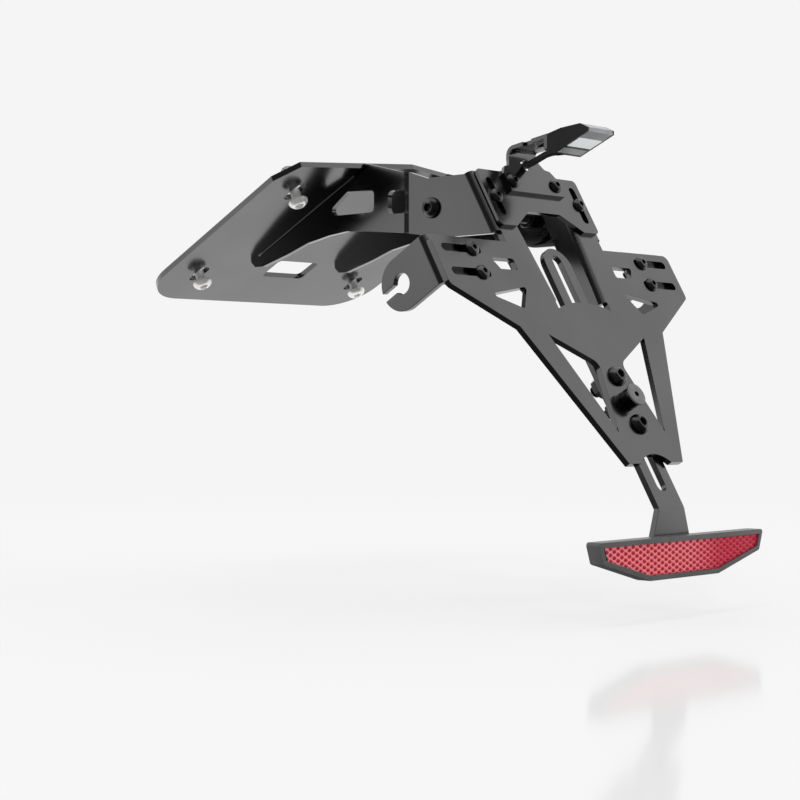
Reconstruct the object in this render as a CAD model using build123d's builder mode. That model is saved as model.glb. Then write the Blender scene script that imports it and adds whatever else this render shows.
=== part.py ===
from build123d import *
import os
from math import sin, cos, tan, radians

os.makedirs("parts", exist_ok=True)

# Folding tail tidy for a motorbike. Millimetres, X to the bike's right, Y forward, Z up.
# The origin is the middle of the four bolts, on the upper face of the base plate.

# angles
seat_angle = 27.0          # base plate, front end down
plate_tilt = 30.0          # plate holder, top leaning forward
arm_rise = 9.5             # lamp arm, rear end up

# sheets and bends
base_sheet = 3.0
holder_sheet = 3.0
ear_sheet = 3.0
bar_sheet = 3.0
lamp_sheet = 2.0
bend_out = 3.4
cheek_blend = 1.0

# screws: diameter, button head, key, nut
m6 = 6.0
m6_head = 10.5
m6_head_h = 3.3
m6_key = 4.0
m6_nut = 10.0
m6_nut_h = 5.0
m5 = 5.0
m5_nut = 8.0
m5_nut_h = 4.0
m4 = 4.0
m4_head = 7.6
m4_head_h = 2.2
m4_key = 2.5
m4_nut = 7.0
m4_nut_h = 3.2
m3 = 3.0
m3_head = 5.7
m3_head_h = 1.6
m3_key = 2.0
washer_t = 1.6
washer_r = 6.0
hole_fit = 0.4             # hole over its screw, on the diameter
thread_fit = 0.1           # nut or washer over its screw, on the radius

# base plate, in its own plane: x across, y forward
base_half = 80.5
base_front = 69.8
base_side_rear = -50.0
base_rear_side = -65.0
base_rear_mid = -75.0
base_rear_half = 73.0
base_front_r = 24.5
bolt_half = 59.0
bolt_fore = 42.5
bolt_slot = 14.5
bolt_len = 20.0
bolt_hang = 5.0            # head below the plate, loose in its slot
bolt_plain = 8.2           # smooth shank before the thread
neck_drop = 0.3            # smooth shank inside the rolled thread, on the radius
wire_gate_half = 15.0
wire_gate_front = 40.8
wire_gate_rear = 23.5
cheek_x = 33.6             # outer face of a cheek
cheek_step = 5.0           # how far its rear end steps out
cheek_step_y = -93.0
cheek_step_run = 8.0
cheek_low_z = -5.6
cheek_window_low = 6.1

# pivot of the plate holder
pivot_y = -119.4
pivot_z = 4.3
lobe_r = 15.0
cheek_lobe_r = 13.5
pivot_bolt_len = 20.0

# plate holder, in its own plane: x across, y up the plate
face_y = -167.4            # where the holder's rear face crosses the upper ear slots
face_z = -20.1
ear_top = 6.3
ear_half = 92.4
ear_low = -20.0
waist_x = 56.0
waist_y = -42.0
toe_x = 21.2
toe_y = -115.6
toe_r = 5.0
arch_half = 12.0
arch_rise = 4.8
gate_top_x = 24.3
gate_low_x = 17.2
gate_low_y = -25.5
gate_depth = 14.5
relief_x = 20.5
relief_y = -30.6
gate_floor_y = -26.5
notch_x = 37.8
ear_slot_in = 18.9           # slots, screws and flange edge of an ear, in from the holder's side
ear_slot_len = 27.0
ear_slot_pitch = 13.0
ear_screw_in = 26.4
ear_screw_len = 12.0

# indicator ears
ear_proud = 0.2            # outer face of an ear past the holder's side
ear_edge_in = 35.4
ear_mid_y = -4.2
ear_r = 13.0
ear_reach = 25.7
stem_r = 5.0
stem_mouth = 4.2

# reflector bar
bar_half = 10.0
bar_top = 6.8
bar_low = -138.0
bar_slot_top = 2.6
bar_slot_low = -129.0
bar_bolt_mid = -81.6
bar_bolt_pitch = 26.4
bar_bolt_len = 16.0
foot_half = 15.8

# stud between the two bar bolts
stud_r = 5.0
stud_h = 5.3
disc_r = 5.75
disc_t = 1.0
disc_key = 2.5
stud_len = 20.0

# reflector
tray_depth = 7.8
tray_top_half = 65.5
tray_mid_half = 62.0
tray_low_half = 27.2
tray_top_z = -153.7
tray_mid_drop = 10.0
tray_height = 19.3
tray_wall = 2.3
tray_back = 1.6
lens_gap = 0.1
lens_sink = 0.8
tray_stud_drop = 8.8
foot_under = 8.6            # foot of the bar below the tray's stud
tray_stud_len = 8.5

# lamp plate and lamp bracket, in the plane of the holder
lamp_plate_half = 38.5
lamp_plate_top = 47.6
lamp_plate_low = 15.0
lamp_notch_low = 26.0
lamp_notch_top = 12.0
lamp_notch_y = 24.5
tower_screw_x = 32.2
tower_screw_y = 31.8
tower_slot_len = 22.0
lamp_screw_len = 10.0
mount_screw_x = 16.4
mount_screw_y = 40.7
mount_low = 34.7
mount_half = 20.6
mount_shoulder = 46.5
mount_neck = 10.4
mount_neck_y = 57.0
mount_top = 62.2           # corner of its upper bend
arm_len = 29.5
arm_bend = 5.0
tie_notch_at = 16.4
tie_notch_half = 2.8
tie_notch_deep = 2.0
scoop_deep = 5.6           # taken off the arm's right side, to let the cable by
scoop_rise = 5.0           # from the neck up to the scoop's full depth
scoop_end = 4.8            # arm left whole before the lamp's tab
tab_drop = 7.6
tab_screw_drop = 5.5
wire_hole_r = 3.4
wire_hole_y = 52.0
wire_r = 1.7

# lamp, measured back and up from the foot of its front face
lamp_half = 10.5
lamp_front_h = 10.4
lamp_crest = (8.5, 12.5)
lamp_brow = (20.3, 13.6)
lamp_tail = (25.0, 11.4)
lamp_lip = (25.0, 9.4)
lamp_foot = (4.1, 0.5)
lamp_toe = (0.0, 3.4)
lamp_wall = 1.2
lamp_glass = 1.6
lamp_screw_x = 7.0
lamp_drop = 10.6           # foot of the front face below the top of the arm's end
gland_r = 1.9
gland_len = 2.0
gland_up = 0.8

# planes
seat_rad = radians(seat_angle)
tilt_rad = radians(plate_tilt)
rise_rad = radians(arm_rise)
seat_up = Vector(0, sin(seat_rad), cos(seat_rad))
seat_fwd = Vector(0, cos(seat_rad), -sin(seat_rad))
seat_plane = Plane(origin=(0, 0, 0), x_dir=(1, 0, 0), z_dir=seat_up)
face_out = Vector(0, -cos(tilt_rad), sin(tilt_rad))
face_up = Vector(0, sin(tilt_rad), cos(tilt_rad))
face_plane = Plane(origin=(0, face_y, face_z), x_dir=(1, 0, 0), z_dir=face_out)
side_plane = Plane(origin=(0, 0, 0), x_dir=(0, 1, 0), z_dir=(1, 0, 0))

# sizes that follow
holder_x = cheek_x + cheek_step + holder_sheet
ear_slot_x = ear_half - ear_slot_in
ear_screw_x = ear_half - ear_screw_in
ear_x = ear_half + ear_proud
ear_in_x = ear_half - ear_edge_in
tray_stud_z = tray_top_z - tray_stud_drop
foot_low_z = tray_stud_z - foot_under
tower_top = (pivot_z + lobe_r - face_z + bend_out * sin(tilt_rad)) / cos(tilt_rad)
tower_foot = (pivot_z - lobe_r - face_z + bend_out * sin(tilt_rad)) / cos(tilt_rad)


def on_face(x, y, h):
    # x across, y up the plate holder, h out of its rear face
    return Vector(0, face_y, face_z) + Vector(1, 0, 0) * x + face_up * y + face_out * h


def on_seat(x, s, t):
    # x across, s forward along the base plate, t over its upper face
    return Vector(1, 0, 0) * x + seat_fwd * s + seat_up * t


def yz(point):
    return (point.Y, point.Z)


def face_at(x, y, h):
    return Plane(origin=on_face(x, y, h), x_dir=(1, 0, 0), z_dir=face_out)


def pivot_at(sign, x):
    # square to X, its Z pointing away from the middle of the bike
    return Plane(origin=(sign * x, pivot_y, pivot_z), x_dir=(0, 0, 1), z_dir=(sign, 0, 0))


def bolt(d, head_d, head_h, key, length, plain=0.0):
    # domed head over Z = 0, shank below it
    rim = 0.12 * head_h
    flat = 0.28 * head_d
    with BuildPart() as screw:
        with BuildSketch(Plane.XZ):
            with BuildLine():
                Line((0, 0), (head_d / 2, 0))
                Line((head_d / 2, 0), (head_d / 2, rim))
                ThreePointArc(
                    (head_d / 2, rim),
                    (0.435 * head_d, 0.62 * head_h),
                    (flat, head_h),
                )
                Line((flat, head_h), (0, head_h))
                Line((0, head_h), (0, 0))
            make_face()
        revolve(axis=Axis.Z)
        with BuildSketch(Plane.XY.offset(head_h)):
            RegularPolygon(key / 2, 6, major_radius=False)
        extrude(amount=-0.6 * head_h, mode=Mode.SUBTRACT)
        if plain > 0:
            with BuildSketch(Plane.XY):
                Circle(d / 2 - neck_drop)
            extrude(amount=-plain)
        with BuildSketch(Plane.XY.offset(-plain)):
            Circle(d / 2)
        extrude(amount=plain - length)
        chamfer(screw.faces().sort_by(Axis.Z)[0].edges(), 0.1 * d)
    return screw.part


def nut(d, width, height):
    with BuildPart() as body:
        with BuildSketch():
            RegularPolygon(width / 2, 6, major_radius=False)
            Circle(d / 2 + thread_fit, mode=Mode.SUBTRACT)
        extrude(amount=-height)
    return body.part


def washer(d, r):
    with BuildPart() as ring:
        with BuildSketch():
            Circle(r)
            Circle(d / 2 + thread_fit, mode=Mode.SUBTRACT)
        extrude(amount=-washer_t)
    return ring.part


def put(solid, planes):
    return Compound(children=[plane.location * solid for plane in planes])


def save(shape, name, label):
    shape.label = label
    export_step(shape, "parts/" + name + ".step")


# base bracket: slotted plate with two cheeks that reach back to the pivot
cheek_side = [
    on_seat(0, 27.0, -1.0),
    on_seat(0, 27.0, -3.5),
    on_seat(0, 25.5, -7.0),
    on_seat(0, 20.0, -9.8),
    on_seat(0, -0.3, -13.9),
    on_seat(0, -16.2, -16.3),
    on_seat(0, -31.7, -20.8),
    on_seat(0, -44.7, -25.7),
]
with BuildPart() as cheek_pair:
    with BuildSketch(side_plane.offset(-60)):
        with BuildLine():
            Polyline(
                *[yz(p) for p in cheek_side],
                (cheek_step_y + 30.0, cheek_low_z + 2.4),
                (cheek_step_y + 2.0, cheek_low_z),
                (pivot_y + 4.0, pivot_z - cheek_lobe_r),
                (pivot_y, pivot_z - cheek_lobe_r),
            )
            ThreePointArc(
                (pivot_y, pivot_z - cheek_lobe_r),
                (pivot_y - cheek_lobe_r, pivot_z),
                (pivot_y, pivot_z + cheek_lobe_r),
            )
            Polyline(
                (pivot_y, pivot_z + cheek_lobe_r),
                (cheek_step_y - cheek_step_run, 23.7),
                (cheek_step_y + 2.0, 25.2),
                yz(on_seat(0, base_rear_mid + 3.0, -1.0)),
                yz(cheek_side[0]),
            )
        make_face()
        with Locations((pivot_y, pivot_z)):
            Circle((m6 + hole_fit) / 2, mode=Mode.SUBTRACT)
    extrude(amount=120)
    with BuildSketch(side_plane.offset(-60)):
        with BuildLine():
            Polyline(
                (-71.5, cheek_window_low), (-43.5, cheek_window_low), (-38.4, 8.6),
                (-52.0, 18.0), (-71.5, 17.4), close=True,
            )
        window = make_face()
        fillet(window.vertices(), 2.4)
        with Locations((cheek_step_y + 4.6, 10.2)):
            RectangleRounded(14.0, 12.0, 3.2)
    extrude(amount=120, mode=Mode.SUBTRACT)
    with BuildSketch(Plane.XY.offset(-40)):
        for sign in (-1, 1):
            with BuildLine():
                Polyline(
                    (sign * cheek_x, 60),
                    (sign * cheek_x, cheek_step_y),
                    (sign * (cheek_x + cheek_step), cheek_step_y - cheek_step_run),
                    (sign * (cheek_x + cheek_step), pivot_y - 20),
                    (sign * (cheek_x + cheek_step - base_sheet), pivot_y - 20),
                    (sign * (cheek_x + cheek_step - base_sheet), cheek_step_y - cheek_step_run - 1.0),
                    (sign * (cheek_x - base_sheet), cheek_step_y - 1.0),
                    (sign * (cheek_x - base_sheet), 60),
                    close=True,
                )
            make_face()
    extrude(amount=90, mode=Mode.INTERSECT)

with BuildPart() as base_bracket:
    with BuildSketch(seat_plane.offset(-base_sheet)):
        with BuildLine():
            Polyline(
                (-base_half, base_front), (base_half, base_front), (base_half, base_side_rear),
                (base_rear_half, base_rear_side), (0, base_rear_mid), (-base_rear_half, base_rear_side),
                (-base_half, base_side_rear), close=True,
            )
        outline = make_face()
        fillet(outline.vertices().group_by(Axis.Y)[-1], base_front_r)
        with GridLocations(2 * bolt_half, 2 * bolt_fore, 2, 2):
            SlotOverall(bolt_slot, m6 + hole_fit, rotation=90, mode=Mode.SUBTRACT)
        with Locations((0, (wire_gate_front + wire_gate_rear) / 2)):
            RectangleRounded(2 * wire_gate_half, wire_gate_front - wire_gate_rear, 2.5, mode=Mode.SUBTRACT)
    extrude(amount=base_sheet)
    add(cheek_pair.part)
    # rounded root of each cheek, on its outer side
    root_plane = Plane(
        origin=on_seat(0, base_rear_mid + 12.0, 0), x_dir=(1, 0, 0), z_dir=seat_fwd
    )
    with BuildSketch(root_plane):
        for sign in (-1, 1):
            with BuildLine():
                Line((sign * (cheek_x - 1), base_sheet - 1), (sign * (cheek_x + cheek_blend), base_sheet - 1))
                Line(
                    (sign * (cheek_x + cheek_blend), base_sheet - 1),
                    (sign * (cheek_x + cheek_blend), base_sheet),
                )
                ThreePointArc(
                    (sign * (cheek_x + cheek_blend), base_sheet),
                    (sign * (cheek_x + 0.293 * cheek_blend), base_sheet + 0.293 * cheek_blend),
                    (sign * cheek_x, base_sheet + cheek_blend),
                )
                Line(
                    (sign * cheek_x, base_sheet + cheek_blend),
                    (sign * (cheek_x - 1), base_sheet + cheek_blend),
                )
                Line((sign * (cheek_x - 1), base_sheet + cheek_blend), (sign * (cheek_x - 1), base_sheet - 1))
            make_face()
    extrude(amount=20.0 - base_rear_mid - 12.0)
save(base_bracket.part, "base_bracket", "base bracket")

# four bolts, loose in their slots
m6_hang = bolt(m6, m6_head, m6_head_h, m6_key, bolt_len, bolt_plain)
hang_planes = []
for x in (-bolt_half, bolt_half):
    for s in (-bolt_fore, bolt_fore):
        centre = on_seat(x, s, -base_sheet - bolt_hang)
        hang_planes.append(
            Plane(origin=centre, x_dir=(1, 0, 0), z_dir=seat_up * -1)
        )
save(put(m6_hang, hang_planes), "mounting_bolts", "mounting bolts")

# plate holder: ears, spine, two towers with pivot lobes and a stiffened gate
half_outline = [
    (gate_top_x, tower_top),
    (holder_x, tower_top),
    (holder_x, tower_foot),
    (notch_x, tower_foot),
    (notch_x, ear_top),
    (ear_half, ear_top),
    (ear_half, ear_low),
    (waist_x, waist_y),
    (toe_x, toe_y),
]
mirror_outline = [(-x, y) for x, y in reversed(half_outline)]
arch_r = (arch_half**2 + arch_rise**2) / (2 * arch_rise)
gate_slope = (gate_top_x - gate_low_x) / (tower_top - gate_low_y)
with BuildPart() as plate_holder:
    with BuildSketch(face_plane.offset(-holder_sheet)):
        with BuildLine():
            Polyline(*half_outline, *mirror_outline, close=True)
        sheet = make_face()
        low = sheet.vertices()
        fillet(low.filter_by(lambda v: abs(abs(v.X) - ear_half) < 0.1), 3.5)
        fillet(sheet.vertices().filter_by(lambda v: abs(abs(v.X) - waist_x) < 0.1), 8.0)
        fillet(sheet.vertices().filter_by(lambda v: abs(abs(v.X) - toe_x) < 0.1), toe_r)
        with BuildLine():
            Polyline(
                (-gate_top_x, tower_top + 1), (gate_top_x, tower_top + 1), (gate_top_x, tower_top),
                (gate_low_x, gate_low_y), (relief_x, gate_low_y), (relief_x, relief_y),
            )
            ThreePointArc((relief_x, relief_y), (0, gate_floor_y), (-relief_x, relief_y))
            Polyline(
                (-relief_x, relief_y), (-relief_x, gate_low_y), (-gate_low_x, gate_low_y),
                (-gate_top_x, tower_top), (-gate_top_x, tower_top + 1),
            )
        make_face(mode=Mode.SUBTRACT)
        with Locations((0, toe_y + arch_rise - arch_r)):
            Circle(arch_r, mode=Mode.SUBTRACT)
        for sign in (-1, 1):
            for row in (0, -ear_slot_pitch):
                with Locations((sign * ear_slot_x, row)):
                    SlotOverall(ear_slot_len, m4 + hole_fit, mode=Mode.SUBTRACT)
            with Locations((sign * tower_screw_x, tower_screw_y)):
                Circle((m4 + hole_fit) / 2, mode=Mode.SUBTRACT)
        with Locations((0, bar_bolt_mid + bar_bolt_pitch / 2), (0, bar_bolt_mid - bar_bolt_pitch / 2)):
            Circle((m6 + hole_fit) / 2, mode=Mode.SUBTRACT)
        with Locations((0, bar_bolt_mid)):
            Circle((m5 + hole_fit) / 2, mode=Mode.SUBTRACT)
    extrude(amount=holder_sheet)
    # lightening windows
    for sign in (-1, 1):
        with BuildSketch(face_plane):
            with BuildLine():
                Polyline(
                    (sign * 38.5, -3.6), (sign * 54.0, -3.6), (sign * 54.0, -5.2),
                    (sign * 51.0, -10.0), (sign * 38.6, -10.0), close=True,
                )
            slot_window = make_face()
            fillet(slot_window.vertices(), 1.2)
            with BuildLine():
                Polyline((sign * 67.0, -24.6), (sign * 37.6, -19.2), (sign * 46.4, -31.8), close=True)
            small_window = make_face()
            fillet(small_window.vertices(), 1.2)
            with BuildLine():
                Polyline((sign * 37.6, -45.6), (sign * 8.8, -61.0), (sign * 18.2, -99.0), close=True)
            spine_window = make_face()
            fillet(spine_window.vertices().filter_by(lambda v: abs(v.X) < 12), 5.0)
            fillet(spine_window.vertices().filter_by(lambda v: abs(v.X) > 36), 1.4)
            fillet(spine_window.vertices().filter_by(lambda v: v.Y < -98), 1.2)
        extrude(amount=-holder_sheet, mode=Mode.SUBTRACT)
    # pivot lobes
    for sign in (-1, 1):
        with BuildSketch(side_plane.offset(sign * holder_x)):
            with BuildLine():
                Polyline(
                    (pivot_y, pivot_z + lobe_r), yz(on_face(0, tower_top, -bend_out)),
                    yz(on_face(0, tower_top, 0)), yz(on_face(0, tower_foot, 0)),
                    yz(on_face(0, tower_foot, -bend_out)), (pivot_y, pivot_z - lobe_r),
                )
                ThreePointArc(
                    (pivot_y, pivot_z - lobe_r), (pivot_y + lobe_r, pivot_z), (pivot_y, pivot_z + lobe_r)
                )
            make_face()
            with Locations((pivot_y, pivot_z)):
                Circle((m6 + hole_fit) / 2, mode=Mode.SUBTRACT)
        extrude(amount=-sign * holder_sheet)
        # stiffening flange beside the gate
        with BuildSketch(face_plane):
            with BuildLine():
                Polyline(
                    (sign * gate_top_x, tower_top), (sign * gate_low_x, gate_low_y),
                    (sign * (gate_low_x + holder_sheet), gate_low_y),
                    (sign * (gate_top_x + holder_sheet), tower_top), close=True,
                )
            make_face()
        extrude(amount=-gate_depth)
    for sign in (-1, 1):
        mid_gate = gate_low_x + gate_slope * (0.5 * (tower_top + gate_low_y) - gate_low_y)
        outer = on_face(sign * holder_x, (tower_top + tower_foot) / 2, 0)
        gate_edge = on_face(sign * mid_gate, 0.5 * (tower_top + gate_low_y), 0)
        for spot in (outer, gate_edge):
            near = plate_holder.edges().sort_by(lambda e: (e.center() - spot).length)[0]
            fillet(near, bend_out)
save(plate_holder.part, "plate_holder", "plate holder")

# indicator ears: flat behind the holder, folded forward, open-ended hole for the lamp stem
for sign, name in ((-1, "left"), (1, "right")):
    with BuildPart() as ear:
        with BuildSketch(face_plane.offset(-holder_sheet - ear_sheet)):
            with Locations((sign * (ear_in_x + ear_x) / 2, ear_mid_y)):
                Rectangle(ear_x - ear_in_x, 2 * ear_r)
            with Locations((sign * ear_screw_x, 0), (sign * ear_screw_x, -ear_slot_pitch)):
                Circle((m4 + hole_fit) / 2, mode=Mode.SUBTRACT)
        extrude(amount=ear_sheet)
        ear_origin = on_face(sign * ear_x, 0, 0)
        ear_plane = Plane(origin=ear_origin, x_dir=face_out * -1, z_dir=(1, 0, 0))
        with BuildSketch(ear_plane):
            with Locations(((holder_sheet + ear_reach) / 2, ear_mid_y)):
                Rectangle(ear_reach - holder_sheet, 2 * ear_r)
            with Locations((ear_reach, ear_mid_y)):
                Circle(ear_r)
                Circle(stem_r, mode=Mode.SUBTRACT)
            with Locations((ear_reach + ear_r / 2 + 1, ear_mid_y)):
                Rectangle(ear_r + 2, stem_mouth, mode=Mode.SUBTRACT)
        extrude(amount=-sign * ear_sheet)
        fold = on_face(sign * ear_x, ear_mid_y, -holder_sheet)
        near = ear.edges().sort_by(lambda e: (e.center() - fold).length)[0]
        fillet(near, bend_out)
    save(ear.part, "indicator_ear_" + name, "indicator ear " + name)

# reflector bar: slotted strip behind the spine, folded to hang upright
bar_face = -holder_sheet
bar_back = bar_face - bar_sheet
foot_corner = on_face(0, bar_low, bar_face)
with BuildPart() as reflector_bar:
    with BuildSketch(face_plane.offset(bar_back)):
        with Locations((0, (bar_top - bar_half + bar_low) / 2)):
            Rectangle(2 * bar_half, bar_top - bar_half - bar_low)
        with Locations((0, bar_top - bar_half)):
            Circle(bar_half)
        with Locations((0, (bar_slot_top + bar_slot_low) / 2)):
            SlotOverall(bar_slot_top - bar_slot_low, m6 + 2 * hole_fit, rotation=90, mode=Mode.SUBTRACT)
    extrude(amount=bar_sheet)
    with BuildSketch(Plane.XZ.offset(-foot_corner.Y)):
        with BuildLine():
            Polyline(
                (-bar_half, foot_corner.Z), (bar_half, foot_corner.Z),
                (foot_half, 0.4 * foot_corner.Z + 0.6 * foot_low_z), (foot_half, foot_low_z),
                (-foot_half, foot_low_z), (-foot_half, 0.4 * foot_corner.Z + 0.6 * foot_low_z),
                close=True,
            )
        foot = make_face()
        fillet(foot.vertices().group_by(Axis.Y)[0], 3.0)
        with Locations((0, tray_stud_z)):
            Circle((m5 + hole_fit) / 2, mode=Mode.SUBTRACT)
    extrude(amount=-bar_sheet)
    crease = reflector_bar.edges().sort_by(lambda e: (e.center() - foot_corner).length)[0]
    fillet(crease, bend_out)
save(reflector_bar.part, "reflector_bar", "reflector bar")

# reflector: tray with a stud, and its prism lens
tray_back_y = foot_corner.Y
tray_points = [
    (tray_top_half, tray_top_z),
    (tray_mid_half, tray_top_z - tray_mid_drop),
    (tray_low_half, tray_top_z - tray_height),
]
tray_outline = tray_points + [(-x, z) for x, z in reversed(tray_points)]
with BuildPart() as reflector_tray:
    with BuildSketch(Plane.XZ.offset(-tray_back_y)):
        with BuildLine():
            Polyline(*tray_outline, close=True)
        tray = make_face()
        fillet(tray.vertices(), 1.5)
    extrude(amount=tray_depth)
    with BuildSketch(Plane.XZ.offset(-tray_back_y + tray_depth)):
        with BuildLine():
            Polyline(*tray_outline, close=True)
        rim = make_face()
        fillet(rim.vertices(), 1.5)
        offset(amount=-tray_wall, mode=Mode.REPLACE)
    extrude(amount=-(tray_depth - tray_back), mode=Mode.SUBTRACT)
    with BuildSketch(Plane.XZ.offset(-tray_back_y)):
        with Locations((0, tray_stud_z)):
            Circle(m5 / 2)
    extrude(amount=-tray_stud_len)
save(reflector_tray.part, "reflector_tray", "reflector tray")

with BuildPart() as reflector_lens:
    with BuildSketch(Plane.XZ.offset(-tray_back_y + tray_back)):
        with BuildLine():
            Polyline(*tray_outline, close=True)
        prism = make_face()
        fillet(prism.vertices(), 1.5)
        offset(amount=-tray_wall - lens_gap, mode=Mode.REPLACE)
    extrude(amount=tray_depth - tray_back - lens_sink)
save(reflector_lens.part, "reflector_lens", "reflector lens")

# lamp plate on the towers
lamp_half_outline = [
    (lamp_plate_half, lamp_plate_top),
    (lamp_plate_half, lamp_plate_low),
    (lamp_notch_low, lamp_plate_low),
    (lamp_notch_top, lamp_notch_y),
]
with BuildPart() as lamp_plate:
    with BuildSketch(face_plane):
        with BuildLine():
            Polyline(*lamp_half_outline, *[(-x, y) for x, y in reversed(lamp_half_outline)], close=True)
        flat = make_face()
        fillet(flat.vertices().filter_by(lambda v: abs(v.X) > 30), 2.5)
        for sign in (-1, 1):
            with Locations((sign * tower_screw_x, tower_screw_y)):
                SlotOverall(tower_slot_len, m4 + hole_fit, rotation=90, mode=Mode.SUBTRACT)
            with Locations((sign * mount_screw_x, mount_screw_y)):
                Circle((m4 + hole_fit) / 2, mode=Mode.SUBTRACT)
    extrude(amount=lamp_sheet)
save(lamp_plate.part, "lamp_plate", "lamp plate")

# lamp bracket: upright, arm and a short tab that takes the lamp
bracket_h = lamp_sheet
arm_back = Vector(0, -cos(rise_rad), sin(rise_rad))
arm_up = Vector(0, sin(rise_rad), cos(rise_rad))
arm_corner = on_face(0, mount_top, bracket_h)
arm_end = arm_corner + arm_back * arm_len
arm_inside = (
    arm_corner
    + arm_back * (lamp_sheet / arm_back.dot(face_out))
    - face_up * (lamp_sheet / face_up.dot(arm_up))
)
tab_inside = arm_end - arm_up * lamp_sheet - arm_back * (lamp_sheet * (1 + sin(rise_rad)) / cos(rise_rad))
lamp_screw_z = arm_end.Z - tab_screw_drop
mount_half_outline = [
    (mount_half, mount_low),
    (mount_half, mount_shoulder - 1.0),
    (mount_half - 3.0, mount_shoulder + 3.2),
    (mount_half - 6.8, mount_shoulder + 4.0),
    (mount_neck + 1.2, mount_neck_y - 3.0),
    (mount_neck, mount_neck_y),
    (mount_neck, mount_top + 40.0),
]
with BuildPart() as lamp_bracket:
    with BuildSketch(side_plane.offset(-mount_half)):
        with BuildLine():
            Polyline(
                yz(on_face(0, mount_low, bracket_h)), yz(arm_corner), yz(arm_end),
                (arm_end.Y, arm_end.Z - tab_drop), (arm_end.Y + lamp_sheet, arm_end.Z - tab_drop),
                yz(tab_inside), yz(arm_inside), yz(on_face(0, mount_low, bracket_h + lamp_sheet)),
                close=True,
            )
        strip = make_face()
        for spot, radius in ((arm_corner, arm_bend), (arm_inside, arm_bend - lamp_sheet)):
            gap = strip.vertices().sort_by(lambda v: abs(v.X - spot.Y) + abs(v.Y - spot.Z))
            strip = fillet(gap[0], radius)
    extrude(amount=2 * mount_half)
    with BuildSketch(face_plane.offset(-10)):
        with BuildLine():
            Polyline(*mount_half_outline, *[(-x, y) for x, y in reversed(mount_half_outline)], close=True)
        make_face()
        for sign in (-1, 1):
            with Locations((sign * mount_screw_x, mount_screw_y)):
                Circle((m4 + hole_fit) / 2, mode=Mode.SUBTRACT)
        with Locations((0, wire_hole_y)):
            Circle(wire_hole_r, mode=Mode.SUBTRACT)
    extrude(amount=80, mode=Mode.INTERSECT)
    # the arm keeps the width of the neck
    for sign in (-1, 1):
        with BuildSketch(side_plane.offset(sign * mount_neck)):
            with BuildLine():
                Polyline(
                    yz(on_face(0, mount_low, arm_bend)), yz(on_face(0, mount_top + 30, arm_bend)),
                    yz(on_face(0, mount_top + 30, 60)), yz(on_face(0, mount_low, 60)), close=True,
                )
            make_face()
        extrude(amount=sign * 20, mode=Mode.SUBTRACT)
    # notch for a cable tie on the left, and a scoop along the right
    tie_spot = arm_corner + arm_back * tie_notch_at
    with BuildSketch(Plane(origin=tie_spot, x_dir=(1, 0, 0), z_dir=arm_up)):
        with Locations((-mount_neck, 0)):
            Rectangle(2 * tie_notch_deep, 2 * tie_notch_half)
    extrude(amount=5, both=True, mode=Mode.SUBTRACT)
    with BuildSketch(face_plane):
        with BuildLine():
            Polyline(
                (mount_neck + 2, mount_neck_y - 1), (mount_neck, mount_neck_y),
                (mount_neck - scoop_deep, mount_neck_y + scoop_rise), (mount_neck - scoop_deep, mount_top + 40),
                (mount_neck + 2, mount_top + 40), close=True,
            )
        scoop = make_face()
        fillet(scoop.vertices().sort_by(Axis.X)[0:2].sort_by(Axis.Y)[0], 4.0)
    extrude(amount=(arm_end - face_plane.origin).dot(face_out) - scoop_end, mode=Mode.SUBTRACT)
    with BuildSketch(Plane.XZ.offset(-arm_end.Y - 6)):
        with Locations((-lamp_screw_x, lamp_screw_z), (lamp_screw_x, lamp_screw_z)):
            Circle((m3 + hole_fit) / 2)
        with Locations((0, arm_end.Z - tab_drop)):
            RectangleRounded(2 * gland_r + 3.0, 6.4, 1.5)
    extrude(amount=12, mode=Mode.SUBTRACT)
save(lamp_bracket.part, "lamp_bracket", "lamp bracket")

# lamp: housing open below and behind, clear glass in it, and a board of light-emitting diodes
lamp_y = arm_end.Y
lamp_z = arm_end.Z - lamp_drop
lip_back, lip_up = lamp_lip
brow_back, brow_up = lamp_brow
crest_back, crest_up = lamp_crest
foot_back, foot_up = lamp_foot
tail_back, tail_up = lamp_tail
floor_slope = (lip_up - foot_up) / (lip_back - foot_back)
gland_z = lamp_z + gland_up + gland_r
gland_in = foot_back + 0.4 * lamp_wall


def lamp_point(back, up):
    return (lamp_y - back, lamp_z + up)


def floor_point(back, up):
    # height counted from the sloping underside
    return lamp_point(back, foot_up + floor_slope * (back - foot_back) + up)


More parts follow.
